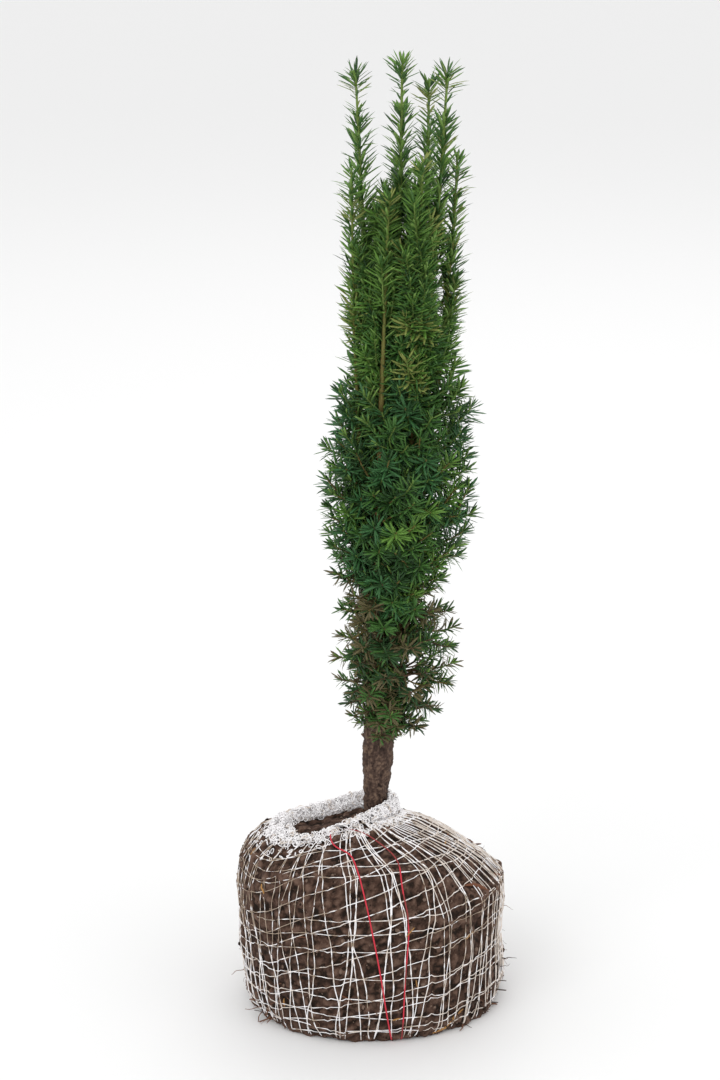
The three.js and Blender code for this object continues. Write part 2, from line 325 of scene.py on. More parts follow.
def build_mesh(name, points, faces, materials, tones):
    """A smooth-shaded piece from arrays of points and triangles. tones says each one's material."""
    mesh = bpy.data.meshes.new(name)
    mesh.vertices.add(len(points))
    mesh.vertices.foreach_set("co", points.ravel())
    mesh.loops.add(faces.size)
    mesh.loops.foreach_set("vertex_index", faces.ravel())
    mesh.polygons.add(len(faces))
    mesh.polygons.foreach_set("loop_start", np.arange(0, faces.size, 3))
    mesh.polygons.foreach_set("use_smooth", np.ones(len(faces), bool))
    for material in materials:
        mesh.materials.append(material)
    mesh.polygons.foreach_set("material_index", np.asarray(tones, np.int32))
    mesh.update(calc_edges=True)
    piece = bpy.data.objects.new(name, mesh)
    bpy.context.scene.collection.objects.link(piece)
    return piece


def repeat_faces(faces, count, size):
    """The faces of count copies of a shape that has size points."""
    return (faces[None] + size * np.arange(count)[:, None, None]).reshape(-1, 3)


def tube_faces(steps, sides):
    """The triangles of a closed tube, whose two end points come after its rings."""
    turns = np.arange(sides)
    after = (turns + 1) % sides
    faces = []
    for k in range(0, (steps - 1) * sides, sides):
        faces.append(np.stack([k + turns, k + sides + turns, k + sides + after], axis=1)[:, ::-1])
        faces.append(np.stack([k + turns, k + sides + after, k + after], axis=1)[:, ::-1])
    start, end, last = steps * sides, steps * sides + 1, (steps - 1) * sides
    faces.append(np.stack([np.full(sides, start), after, turns], axis=1))
    faces.append(np.stack([np.full(sides, end), last + turns, last + after], axis=1))
    return np.concatenate(faces)


def tubes(paths, radii, sides, across):
    """Closed tubes along paths (n, steps, 3) with radii (n, steps), as points and faces. across is
    a direction that no stretch of its path runs along, for each path or each step."""
    count, steps, _ = paths.shape
    along = unit(np.gradient(paths, axis=1))
    u = unit(np.cross(along, across if across.ndim == 3 else across[:, None, :]))
    v = np.cross(along, u)
    angles = 2 * np.pi * np.arange(sides) / sides
    ring = np.cos(angles)[:, None] * u[:, :, None, :] + np.sin(angles)[:, None] * v[:, :, None, :]
    rings = paths[:, :, None, :] + radii[:, :, None, None] * ring
    start = paths[:, :1] - along[:, :1] * radii[:, :1, None]
    end = paths[:, -1:] + along[:, -1:] * radii[:, -1:, None]
    points = np.concatenate([rings.reshape(count, steps * sides, 3), start, end], axis=1)
    return points.reshape(-1, 3), repeat_faces(tube_faces(steps, sides), count, steps * sides + 2)


bpy.ops.object.select_all(action="DESELECT")
bpy.ops.mesh.primitive_ico_sphere_add(subdivisions=1, radius=1)
round_lump = bpy.context.object
lump_points = corners_of(round_lump)
lump_faces = np.array([list(face.vertices) for face in round_lump.data.polygons])
bpy.data.objects.remove(round_lump)

spots, normals = surface_samples(ball, CRUMB_COUNT, lambda centre, normal: centre[:, 2] > 4 * MM)
sizes = between(CRUMB_SIZES, random.random((CRUMB_COUNT, 1, 1)) ** 3)
wobble = 1 + 0.5 * (random.random((CRUMB_COUNT, len(lump_points), 1)) - 0.5)
stretch = 0.7 + 0.6 * random.random((CRUMB_COUNT, 1, 3))
crumb_points = spots[:, None] + (lump_points * wobble * stretch - CRUMB_BURY * normals[:, None]) * sizes
crumb_points[:, :, 2] = np.maximum(crumb_points[:, :, 2], 0)

# Crumbs of the same loam: each drier and paler, or damp and dark.
crumb_shades = [start_material(f"loam_crumb_{name}", colour, 0.95, Specular_IOR_Level=0.2)[0]
                for name, colour in (("damp", "#2b1f18"), ("mid", "#4b3a30"), ("dry", "#746155"))]
crumbs = build_mesh("soil_crumbs", crumb_points.reshape(-1, 3),
                    repeat_faces(lump_faces, CRUMB_COUNT, len(lump_points)), crumb_shades,
                    random.integers(0, 3, CRUMB_COUNT).repeat(len(lump_faces)))
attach(crumbs, "root")


def curls(starts, headings, lengths, steps, wander):
    """Paths that set off along headings and wander at random."""
    paths = [starts]
    heading = unit(headings)
    for _ in range(steps - 1):
        heading = unit(heading + wander * random.normal(size=heading.shape))
        paths.append(paths[-1] + heading * lengths[:, None] / (steps - 1))
    return np.stack(paths, axis=1)


def low_and_side(centre, normal):
    """Fine roots show mostly low down on the ball's two sides."""
    low = np.exp(-((centre[:, 2] - ROOT_LEVEL) / ROOT_BAND) ** 2)
    return (ROOT_ELSEWHERE + low * (np.abs(centre[:, 0]) > ROOT_SIDE)) * (centre[:, 2] > 5 * MM)


spots, normals = surface_samples(ball, ROOT_COUNT, low_and_side)
root_lengths = between(ROOT_LENGTHS, random.random(ROOT_COUNT))
root_paths = curls(spots - 2 * MM * normals, normals + 0.8 * random.normal(size=normals.shape),
                   root_lengths, ROOT_STEPS, 0.38)
root_paths[:, :, 2] = np.maximum(root_paths[:, :, 2], 1 * MM)
root_radii = between(ROOT_RADII, random.random((ROOT_COUNT, 1)) ** 2)
root_radii = root_radii * np.linspace(*ROOT_TAPER, ROOT_STEPS)
stub_azimuth = np.radians(random.choice(STUB_AZIMUTHS, STUB_COUNT) + random.normal(0, 5, STUB_COUNT))
stub_round = np.stack([np.cos(stub_azimuth), np.sin(stub_azimuth)], axis=1)
stub_starts = np.column_stack([stub_round * STUB_OVAL + [STUB_SHIFT, 0],
                               random.uniform(*STUB_HEIGHTS, STUB_COUNT)]) * MM
stub_ways = (np.column_stack([stub_round, random.uniform(*STUB_RISES, STUB_COUNT)])
             + 0.35 * random.normal(size=(STUB_COUNT, 3)))
stub_lengths = random.uniform(*STUB_LENGTHS, STUB_COUNT) * MM
stub_paths = curls(stub_starts, stub_ways, stub_lengths, ROOT_STEPS, 0.16)
stub_paths[:, :, 2] = np.maximum(stub_paths[:, :, 2], 2 * MM)
stub_radii = random.uniform(*STUB_RADII, (STUB_COUNT, 1)) * MM * np.linspace(*STUB_TAPER, ROOT_STEPS)
root_paths = np.concatenate([root_paths, stub_paths])
root_radii = np.concatenate([root_radii, stub_radii])
root_points, root_faces = tubes(root_paths, root_radii, ROOT_SIDES,
                                unit(random.normal(size=(len(root_paths), 3))))

# Fine roots: red-brown young bark, and older ones dark brown with soil.
root_shades = [start_material("young_root_bark", "#75503a", 0.8)[0],
               start_material("soiled_root_bark", "#3b2b20", 0.9)[0]]
fine_roots = build_mesh("fine_roots", root_points, root_faces, root_shades,
                        random.integers(0, 2, len(root_paths)).repeat(len(root_faces) // len(root_paths)))
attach(fine_roots, "root")

spots, normals = surface_samples(ball, STRAW_COUNT, lambda centre, normal: centre[:, 2] > 8 * MM)
lie = unit(np.cross(normals, random.normal(size=normals.shape)))
straw_paths = curls(spots + 0.6 * MM * normals, lie,
                    between(STRAW_LENGTHS, random.random(STRAW_COUNT)), STRAW_STEPS, 0.12)
straw_radii = between(STRAW_RADII, random.random((STRAW_COUNT, 1))) * STRAW_TAPER
splinter_paths = np.array([[ball.closest_point_on_mesh(Vector(spot) * MM)[1] for spot in route]
                           for route in SPLINTERS])
splinter_normals = np.tile(UP, (len(SPLINTERS), 1))
straw_points, straw_faces = tubes(np.concatenate([straw_paths, splinter_paths]),
                                  np.concatenate([straw_radii, SPLINTER_RADII]), STRAW_SIDES,
                                  np.concatenate([normals, splinter_normals]))
straw_tones = np.append(random.integers(0, 2, STRAW_COUNT), SPLINTER_TONES)

# Straw and splinters of old bark, sun-bleached or rusty.
straw_shades = [start_material("bleached_straw", "#a97c43", 0.7)[0],
                start_material("rusty_bark_splinter", "#6a4029", 0.85)[0]]
straw = build_mesh("straw_and_splinters", straw_points, straw_faces, straw_shades,
                   straw_tones.repeat(len(straw_faces) // len(straw_tones)))
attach(straw, "root")

# ---- Net -----------------------------------------------------------------------------------------
# A stretched tube of white knitted yarn is pulled up round the ball in two layers, so that its long
# threads run from the gathered hem over the shoulder to the base, and its cross threads ring them.
NET_HEART = np.array([-12, -6, 95]) * MM
NET_COLUMNS = 288
NET_ROWS = 150
NET_LOWEST = 0.8 * np.pi
NET_FLOOR = 0.7 * MM
NET_LIFT = 1.1 * MM
BRIDGE_ROUNDS = 9
CREST_BITE = 0.5 * MM
HEM_CENTRE = np.array([-33, -12]) * MM
HEM_HALF = (57 * MM, 27 * MM)
HEM_TURN = math.radians(20)
HEM_SQUARENESS = 3
HEM_DROP = 14 * MM
YARN = 0.5 * MM
YARN_STEP = 3 * MM
YARN_SIDES = 4
THIN_SHARE = 0.25
BURY = 0.8 * MM
# The mean, spread, least and greatest thickness of long and cross threads, as shares of YARN.
WARP_SIZES = (1, 0.22, 0.6, 1.5)
WEFT_SIZES = (0.85, 0.2, 0.5, 1.3)
WARP_WAVER = 0.018
WEFT_WAVER = 0.008
WEFT_ROUND = 740 * MM
WEFT_JOIN = 1.9
SWINGS = (1, 2, 3, 5, 8)
# How strongly the long threads crowd together, by the share of the way from the hem to the base.
CROWD_SHARES = (0, 0.3, 0.5, 1)
CROWDING = (0, 0.62, 0.589, 0.31)
# Soil has rubbed in left of x and between two heights, and in a patch (x, z), in millimetres. Each
# fades out over the length beside it.
SOILED_LEFT = (-46, 11)
SOILED_FROM = (84, 7)
SOILED_TO = (164, 5)
SOILED_PATCH = ((84, 24), (104, 17))
SOILED_BACK = 40
CREAM_SHARES = (0.3, 0.7)
CREAM_RIGHT_OF = 40 * MM
TONE_CELL = 4 * MM
# Each layer's count of long threads, the gap between its cross threads, how far the long ones lean
# round the ball, how far the cross ones tilt, and how deep the layer lies under the other.
LAYERS = {
    "net_outer_layer": (56, 17 * MM, 0.26, 0.17, 0.0),
    "net_inner_layer": (46, 20 * MM, -0.05, -0.03, 0.2 * MM),
}


def surface_tree(piece):
    """A search tree of a piece's triangles."""
    piece.data.calc_loop_triangles()
    return BVHTree.FromPolygons([v.co for v in piece.data.vertices],
                                [t.vertices for t in piece.data.loop_triangles])


def from_heart(azimuth, polar):
    """Headings from an azimuth and the angle from straight up."""
    return np.stack([np.sin(polar) * np.cos(azimuth), np.sin(polar) * np.sin(azimuth),
                     np.cos(polar) + 0 * azimuth], axis=-1)


soil_tree = surface_tree(ball)
azimuths = 2 * np.pi * np.arange(NET_COLUMNS) / NET_COLUMNS
polars = np.linspace(0, NET_LOWEST, NET_ROWS)
reach = np.empty((NET_COLUMNS, NET_ROWS))
for i, azimuth in enumerate(azimuths):
    for j, heading in enumerate(from_heart(np.full(NET_ROWS, azimuth), polars)):
        hit = soil_tree.ray_cast(Vector(NET_HEART + 0.4 * heading), Vector(-heading))[0]
        reach[i, j] = (hit - Vector(NET_HEART)).length


def eased(grid, rounds):
    """A grid round the ball with its bumps evened out a little more each round."""
    for _ in range(rounds):
        grid = (np.roll(grid, 1, 0) + 2 * grid + np.roll(grid, -1, 0)) / 4
        padded = np.pad(grid, ((0, 0), (1, 1)), mode="edge")
        grid = (padded[:, :-2] + 2 * grid + padded[:, 2:]) / 4
    return grid


def run_of(line):
    """How far along a line each of its points lies."""
    return np.append(0, np.cumsum(np.linalg.norm(np.diff(line, axis=0), axis=1)))


def read_line(places, run, line):
    """A line's points at places along its run."""
    return np.stack([np.interp(places, run, line[:, k]) for k in range(3)], axis=1)


def read_grid(grid, azimuth, row):
    """A grid round the ball, read between its columns and rows."""
    column = azimuth / (2 * np.pi) % 1 * NET_COLUMNS
    i, j = column.astype(int) % NET_COLUMNS, np.minimum(row.astype(int), NET_ROWS - 2)
    spread = (...,) + (None,) * (grid.ndim - 2)
    u, v = (column % 1)[spread], (row - j)[spread]
    right = (i + 1) % NET_COLUMNS
    return ((1 - u) * ((1 - v) * grid[i, j] + v * grid[i, j + 1])
            + u * ((1 - v) * grid[right, j] + v * grid[right, j + 1]))


# The net bridges the hollows: its reach is eased again and again, and held up by the crests.
taut = reach
for _ in range(BRIDGE_ROUNDS):
    taut = np.maximum(eased(taut, 8), reach - CREST_BITE)
taut = eased(taut, 4) + NET_LIFT

angles = np.linspace(0, 2 * np.pi, 720, endpoint=False)
hem_x = HEM_HALF[0] * np.sign(np.cos(angles)) * np.abs(np.cos(angles)) ** (2 / HEM_SQUARENESS)
hem_y = HEM_HALF[1] * np.sign(np.sin(angles)) * np.abs(np.sin(angles)) ** (2 / HEM_SQUARENESS)
hem_x, hem_y = (HEM_CENTRE[0] + hem_x * math.cos(HEM_TURN) - hem_y * math.sin(HEM_TURN),
                HEM_CENTRE[1] + hem_x * math.sin(HEM_TURN) + hem_y * math.cos(HEM_TURN))
hem_azimuth = np.arctan2(hem_y - NET_HEART[1], hem_x - NET_HEART[0]) % (2 * np.pi)
hem_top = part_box("net_collar")[1].z - HEM_DROP
hem_polar = np.arctan2(np.hypot(hem_x - NET_HEART[0], hem_y - NET_HEART[1]), hem_top - NET_HEART[2])
# Each long thread starts where its azimuth meets the hem, and runs to the base in even steps.
order = np.argsort(hem_azimuth)
first_polar = np.interp(azimuths, hem_azimuth[order], hem_polar[order], period=2 * np.pi)

wrap = np.empty((NET_COLUMNS, NET_ROWS, 3))
for i, azimuth in enumerate(azimuths):
    column = NET_HEART + taut[i, :, None] * from_heart(np.full(NET_ROWS, azimuth), polars)
    last = np.argmax(column[:, 2] < 1.2 * MM)
    fine = np.linspace(first_polar[i], polars[last], 400)
    line = read_line(fine, polars, column)
    run = run_of(line)
    wrap[i] = read_line(np.linspace(0, run[-1], NET_ROWS), run, line)
wrap[:, :, 2] = np.maximum(wrap[:, :, 2], NET_FLOOR)
drop_length = np.linalg.norm(np.diff(wrap, axis=1), axis=2).sum(1).mean()


def on_net(azimuth, share):
    """Places on the taut net, from the azimuth and the share of the way from hem to base."""
    return read_grid(wrap, azimuth, np.clip(share, 0, 1) * (NET_ROWS - 1))


def waver(along, count, size):
    """Slow random wander for count threads, along values that run from 0 to 1."""
    swings = [size / k * np.sin(2 * np.pi * (k * along + random.random((count, 1)))) for k in SWINGS]
    return sum(swings) * random.normal(0.7, 0.3, (count, 1))


def gather(azimuth, share):
    """The long threads crowd together over the right shoulder."""
    crowd = np.interp(share, CROWD_SHARES, CROWDING)
    return azimuth - crowd * np.sin(azimuth) * (1 + np.cos(azimuth)) / 2


def fade(value, edge, width):
    """Runs smoothly from 0 below an edge to 1 above it."""
    return 1 / (1 + np.exp((edge - value) / width))


def soiled_share(places):
    """How much soil has rubbed into the net: on the upper left, in a patch under the right
    shoulder, and a little at the back."""
    x, y, z = np.moveaxis(places, -1, 0) / MM
    left = (1 - fade(x, *SOILED_LEFT)) * fade(z, *SOILED_FROM) * (1 - fade(z, *SOILED_TO))
    (patch_x, wide), (patch_z, tall) = SOILED_PATCH
    patch = np.exp(-((x - patch_x) / wide) ** 2 - ((z - patch_z) / tall) ** 2)
    return np.minimum(0.78 * left + 0.9 * patch + 0.2 * (y > SOILED_BACK), 1)


def thread_tones(centres):
    """Clean white, cream with dust, mostly on the right, or soiled."""
    chance = random.random(len(centres))
    cream = np.where(centres[:, 0] > CREAM_RIGHT_OF, CREAM_SHARES[1], CREAM_SHARES[0])
    clean = np.where(random.random(len(centres)) < cream, 1, 0)
    return np.where(chance < 0.06 + 0.85 * soiled_share(centres), 2, clean)


def threads(azimuth, share, sizes, sink):
    """Yarns on the net, thinner and deeper where they are soiled."""
    mean, spread, least, most = sizes
    paths = on_net(gather(azimuth, share), share)
    normals = unit(paths - NET_HEART)
    buried = soiled_share(paths)
    radii = YARN * (mean + spread * random.normal(size=share.shape)).clip(least, most)
    radii = radii * (1 - THIN_SHARE * buried)
    return tubes(paths - (sink + BURY * buried[..., None]) * normals, radii, YARN_SIDES, normals)


# Polyester yarn: matt white where it is clean, cream with dust, and brown where soil has rubbed in.
yarns = [start_material(f"knitted_polyester_{name}", colour, 0.75, Specular_IOR_Level=0.3)[0]
         for name, colour in (("white", "#fdfbfc"), ("dusty", "#e0d5cb"), ("soiled", "#a99785"))]

for name, (warp_count, weft_gap, lean, tilt, sink) in LAYERS.items():
    share = np.linspace(0, 1, int(drop_length / YARN_STEP))[None]
    start = 2 * np.pi * (np.arange(warp_count)[:, None] + 0.35 * random.normal(size=(warp_count, 1)))
    azimuth = start / warp_count + lean * share + waver(share, warp_count, WARP_WAVER)
    warp = threads(azimuth, np.broadcast_to(share, azimuth.shape), WARP_SIZES, sink)

    weft_count = int(drop_length / weft_gap)
    around = np.linspace(0, 2 * np.pi, int(WEFT_ROUND / YARN_STEP))[None] + WEFT_JOIN
    share = (np.arange(weft_count)[:, None] + 0.6 + 0.2 * random.normal(size=(weft_count, 1))) / weft_count
    share = share - tilt * np.cos(around + 0.5) * np.sin(np.pi * share.clip(0, 1)) ** 0.5
    share = share + waver((around - WEFT_JOIN) / (2 * np.pi), weft_count, WEFT_WAVER)
    weft = threads(around + 0.5 * lean * share, share, WEFT_SIZES, sink)

    faces = np.concatenate([warp[1], weft[1] + len(warp[0])])
    points = np.concatenate([warp[0], weft[0]])
    points[:, 2] = np.maximum(points[:, 2], 0)
    cells, cell_of = np.unique(points[faces[:, 0]] // TONE_CELL, axis=0, return_inverse=True)
    tones = thread_tones((cells + 0.5) * TONE_CELL)
    layer = build_mesh(name, points, faces, yarns, tones[cell_of.ravel()])
    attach(layer, "root")

# ---- Hem of the net ------------------------------------------------------------------------------
# The knitted end of the tube gathers into a loose thick ring of small loops on top of the ball. The
# loops lie over the ring's body, tilted at random, and a skirt of them thins out below its edge.
LOOP_COUNT = 1000
SKIRT_COUNT = 250
SKIRT_SHARES = (0.02, 0.09)
LOOP_SIZES = (1.7 * MM, 3.3 * MM)
LOOP_OVAL = 0.75
LOOP_TURN = 0.97 * 2 * np.pi
LOOP_TILT = 0.45
LOOP_CRINKLE = 0.25 * MM
LOOP_YARN = 0.46 * MM
LOOP_STEPS = 10
DUSTY_LOOPS = 0.07
hem = cad_copy("net_collar", "hem_guide")
spots, normals = surface_samples(hem, LOOP_COUNT, lambda centre, normal: normal[:, 2] > -0.6)
bpy.data.objects.remove(hem)
skirt = random.random((SKIRT_COUNT, 2))
skirt_azimuth = 2 * np.pi * skirt[:, 0]
skirt_spots = on_net(skirt_azimuth, between(SKIRT_SHARES, skirt[:, 1] * (1.2 - np.cos(skirt_azimuth))))
spots = np.concatenate([spots, skirt_spots])
normals = np.concatenate([normals, unit(skirt_spots - NET_HEART)])
axes = unit(normals + LOOP_TILT * random.normal(size=normals.shape))
u = unit(np.cross(axes, random.normal(size=normals.shape)))
v = np.cross(axes, u)
turns = np.linspace(0, LOOP_TURN, LOOP_STEPS)[:, None]
sizes = between(LOOP_SIZES, random.random((len(spots), 1, 1)))
loops = spots[:, None] + sizes * (np.cos(turns) * u[:, None] + LOOP_OVAL * np.sin(turns) * v[:, None])
loops += LOOP_CRINKLE * random.normal(size=loops.shape)
loop_points, loop_faces = tubes(loops, np.full(loops.shape[:2], LOOP_YARN), YARN_SIDES, axes)
loop_tones = (random.random(len(spots)) < DUSTY_LOOPS).astype(int)
hem_loops = build_mesh("net_hem_loops", loop_points, loop_faces, yarns,
                       loop_tones.repeat(len(loop_faces) // len(spots)))
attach(hem_loops, "root")
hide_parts("net_collar")

# ---- Marker yarns --------------------------------------------------------------------------------
# Two flat red yarns knitted into the net mark its seam. They run from the hem down the front, and
# soil has rubbed into the right one, mostly on the shoulder. Their routes are in millimetres.
MARKER_YARNS = {
    "left": [(-41, -40, 185), (-38, -62, 177), (-32, -69, 175), (-20, -74, 172), (-13, -94, 157),
             (-7, -108, 133), (-2, -112, 105), (2, -111, 79), (6, -107, 42), (10, -106, 15),
             (12, -103, 3)],
    "right": [(-26, -41, 185), (-10, -48, 182), (10, -67, 173), (20, -78, 166), (23, -96, 151),
              (27, -105, 136), (29, -109, 108), (26, -109, 83), (21, -107, 41), (20, -105, 15),
              (20, -102, 3)],
}
MARKER_WIDTH = 1.35 * MM
MARKER_FLATTENING = 0.65
MARKER_LIFT = 0.7 * MM
MARKER_STEPS = 90
MARKER_SIDES = 8
SHOULDER = 120


def smooth_path(points, steps):
    """A curve through given points, evenly stepped."""
    points = np.array(points, float)
    run = run_of(points)
    path = read_line(np.linspace(0, run[-1], steps), run, points)
    for _ in range(12):
        path[1:-1] = (path[:-2] + 2 * path[1:-1] + path[2:]) / 4
    return path


def to_net(points):
    """The places on the taut net in line with points from its heart."""
    ray = points - NET_HEART
    azimuth = np.arctan2(ray[:, 1], ray[:, 0])
    polar = np.arctan2(np.hypot(ray[:, 0], ray[:, 1]), ray[:, 2])
    far = read_grid(taut, azimuth, polar / NET_LOWEST * (NET_ROWS - 1))
    return NET_HEART + unit(ray) * far[:, None]


# Dyed polyester tape: a clear strong red, duller where soil has rubbed in.
reds = [start_material("red_dyed_polyester", "#c62438", 0.6)[0],
        start_material("red_dyed_polyester_soiled", "#8e3434", 0.8)[0]]
for side, route in MARKER_YARNS.items():
    path = to_net(smooth_path(route, MARKER_STEPS) * MM)
    path[:, 2] = np.maximum(path[:, 2], 0.6 * MM)
    normals = unit(path - NET_HEART)
    path = path + MARKER_LIFT * normals
    points, faces = tubes(path[None], np.full((1, MARKER_STEPS), MARKER_WIDTH / 2), MARKER_SIDES,
                          normals[None])
    outward = normals.repeat(MARKER_SIDES, axis=0)
    height = ((points[:-2] - path.repeat(MARKER_SIDES, axis=0)) * outward).sum(1, keepdims=True)
    points[:-2] -= MARKER_FLATTENING * height * outward
    level = points[faces[:, 0], 2] / MM
    soiled = (side == "right") & (np.sin(level / 9) + (level > SHOULDER) > 0.55)
    marker = build_mesh(f"marker_yarn_{side}", points, faces, reds, soiled)
    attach(marker, "root")

# ---- Trunk ---------------------------------------------------------------------------------------
# The short woody stem: scaly bark dusted with the soil that it was lifted from, a knob where a low
# shoot was cut away, and small pegs of dead twigs. It is worked from the CAD solid, remeshed fine.
TRUNK_GRID = 0.9 * MM
TRUNK_ROUNDS = 8
KNOB_HEIGHT = 252 * MM
KNOB_RADIUS = 5 * MM
KNOB_ASIDE = np.array([-10.5, -6, 0]) * MM
PEG_COUNT = 14
PEG_STEPS = 4
PEG_SIDES = 6
PEG_LENGTHS = (4 * MM, 9 * MM)
PEG_RADII = (0.8 * MM, 1.7 * MM)
PEG_TAPER = np.array([1.3, 1.1, 1, 0.8])
BARK_RELIEF = [("CLOUDS", 9 * MM, 3 * MM), ("VORONOI", 4 * MM, -1.1 * MM), ("CLOUDS", 1.6 * MM, 0.7 * MM)]


def join(pieces):
    """Several pieces as the first of them."""
    bpy.ops.object.select_all(action="DESELECT")
    for piece in pieces:
        piece.select_set(True)
    bpy.context.view_layer.objects.active = pieces[0]
    bpy.ops.object.join()
    return pieces[0]


trunk = cad_copy("trunk", "trunk_bark")
trunk_points = corners_of(trunk)
trunk_axis = trunk_points[np.abs(trunk_points[:, 2] - KNOB_HEIGHT) < 12 * MM].mean(0)
bpy.ops.object.select_all(action="DESELECT")
bpy.ops.mesh.primitive_uv_sphere_add(segments=12, ring_count=8, radius=KNOB_RADIUS,
                                     location=trunk_axis + KNOB_ASIDE)
knob = bpy.context.object
bpy.ops.object.transform_apply(location=True, rotation=True, scale=True)
bark_spots, bark_normals = surface_samples(trunk, PEG_COUNT,
                                           lambda centre, normal: np.abs(normal[:, 2]) < 0.5)
peg_paths = curls(bark_spots - 2 * MM * bark_normals, bark_normals + 0.5 * UP,
                  between(PEG_LENGTHS, random.random(PEG_COUNT)), PEG_STEPS, 0.15)
peg_radii = between(PEG_RADII, random.random((PEG_COUNT, 1))) * PEG_TAPER
peg_points, peg_faces = tubes(peg_paths, peg_radii, PEG_SIDES, np.tile([0.3, 0.1, 1.0], (PEG_COUNT, 1)))
pegs = build_mesh("pegs", peg_points, peg_faces, [], np.zeros(len(peg_faces)))
trunk = join([trunk, knob, pegs])
apply_modifier(trunk, "REMESH", mode="VOXEL", voxel_size=TRUNK_GRID)
add_relief(trunk, BARK_RELIEF)
# Marks the cracks, where the bark's colour is darkened below as painted shade.
mark_hollows(trunk, TRUNK_ROUNDS)
activate(trunk)
bpy.ops.object.shade_smooth()

# Young yew bark: red-brown and matt, in small flakes, with painted shade that darkens its cracks.
bark, tree, shader = start_material("flaky_bark_painted_crack_shade", "#4f3e33", 0.88, Specular_IOR_Level=0.3)
place = add_node(tree, "ShaderNodeTexCoord").outputs["Object"]
upright = add_node(tree, "ShaderNodeMapping", {"Vector": place, "Scale": (1, 1, 0.35)})
flakes = add_node(tree, "ShaderNodeTexNoise", {"Vector": upright.outputs["Vector"],
                                               "Scale": 1 / (5 * MM), "Detail": 6, "Roughness": 0.6})
hollow = add_node(tree, "ShaderNodeAttribute", attribute_name="hollow")
# Painted shade: the hollow mark darkens the bark in its cracks.
blend = add_node(tree, "ShaderNodeMath", {0: hollow.outputs["Fac"], 1: -0.45,
                                          2: flakes.outputs["Fac"]}, operation="MULTIPLY_ADD")
shades = add_node(tree, "ShaderNodeValToRGB", {"Fac": blend.outputs[0]},
                  stops=((0.05, "#291d17"), (0.26, "#493830"), (0.5, "#705b4c")))
tree.links.new(shades.outputs["Color"], shader.inputs["Base Color"])
bump = add_node(tree, "ShaderNodeBump", {"Height": flakes.outputs["Fac"], "Strength": 0.5,
                                         "Distance": 0.8 * MM})
tree.links.new(bump.outputs["Normal"], shader.inputs["Normal"])
trunk.data.materials.append(bark)
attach(trunk, "root")
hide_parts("trunk")

# ---- Leaders -------------------------------------------------------------------------------------
# Ten upright stems stand nearly side by side: five rise from the trunk's fork and five fork from those.
# Their bark turns from red-brown at the fork to ochre, and to smooth green where it grew this year.
LEADERS = ["middle", "left", "right", "front", "back", "far_left", "far_right", "right_back",
           "middle_front", "back_right"]
LEADER_STEP = 3 * MM
LEADER_SIDES = 9
LEADER_ROOT = 9 * MM
LEADER_BUD = 9 * MM
LEADER_TIP = 0.4 * MM
RING_CORNERS = 5
STRAIGHTENING = 60
LEADER_RELIEF = [("CLOUDS", 3 * MM, 0.7 * MM)]


def centre_line(node):
    """The middle and radius of a CAD limb at even steps, from its level rings of corners."""
    points = np.unique(np.round(corners_of(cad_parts[node]), 6), axis=0)
    _, index, counts = np.unique(np.round(points[:, 2], 4), return_inverse=True, return_counts=True)
    index = index.ravel()
    rings = [points[index == k] for k in np.flatnonzero(counts >= RING_CORNERS)]
    middles = [ring.mean(0) for ring in rings]
    radii = [np.linalg.norm(ring - ring.mean(0), axis=1).mean() for ring in rings]
    top = points[points[:, 2].argmax()]
    foot = middles[0] - LEADER_ROOT * unit(middles[1] - middles[0])
    line = np.array([foot] + middles + [top])
    radii = np.array([radii[0]] + radii + [LEADER_TIP])
    end = line[-1, 2] - LEADER_BUD
    even = np.linspace(line[0, 2], end, int((end - line[0, 2]) / LEADER_STEP))
    path = read_line(even, line[:, 2], line)
    for _ in range(STRAIGHTENING):
        path[1:-1, :2] = (path[:-2, :2] + 2 * path[1:-1, :2] + path[2:, :2]) / 4
    return path, np.interp(even, line[:, 2], radii)


# Leader bark by height: the colours blend up the stem, shifted by fine upright streaks.
stem, tree, shader = start_material("leader_bark", "#7a5b3c", 0.7, Specular_IOR_Level=0.35)
place = add_node(tree, "ShaderNodeTexCoord").outputs["Object"]
height = add_node(tree, "ShaderNodeSeparateXYZ", {"Vector": place}).outputs["Z"]
upright = add_node(tree, "ShaderNodeMapping", {"Vector": place, "Scale": (1, 1, 0.2)})
streaks = add_node(tree, "ShaderNodeTexNoise", {"Vector": upright.outputs["Vector"],
                                                "Scale": 1 / (2.5 * MM), "Detail": 4})
shift = add_node(tree, "ShaderNodeMath", {0: streaks.outputs["Fac"], 1: 0.22, 2: height},
                 operation="MULTIPLY_ADD")
ages = add_node(tree, "ShaderNodeValToRGB", {"Fac": shift.outputs[0]},
                stops=((0.38, "#4a352a"), (0.45, "#7a5238"), (0.6, "#86683f"), (0.76, "#7d7c40"),
                       (0.9, "#6f8440")))
tree.links.new(ages.outputs["Color"], shader.inputs["Base Color"])
bump = add_node(tree, "ShaderNodeBump", {"Height": streaks.outputs["Fac"], "Strength": 0.4,
                                         "Distance": 0.4 * MM})
tree.links.new(bump.outputs["Normal"], shader.inputs["Normal"])

leader_lines = {}
for name in LEADERS:
    path, radii = centre_line(f"leader_{name}")
    leader_lines[name] = path
    rough = 1 + 0.16 * waver(np.linspace(0, 3, len(path))[None], 1, 1)[0].clip(-1, 1)
    points, faces = tubes(path[None], (radii * rough)[None], LEADER_SIDES, np.array([[1.0, 0, 0]]))
    leader = build_mesh(f"leader_{name}_stem", points, faces, [stem], np.zeros(len(faces)))
    add_relief(leader, LEADER_RELIEF)
    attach(leader, "root")
    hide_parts(f"leader_{name}")

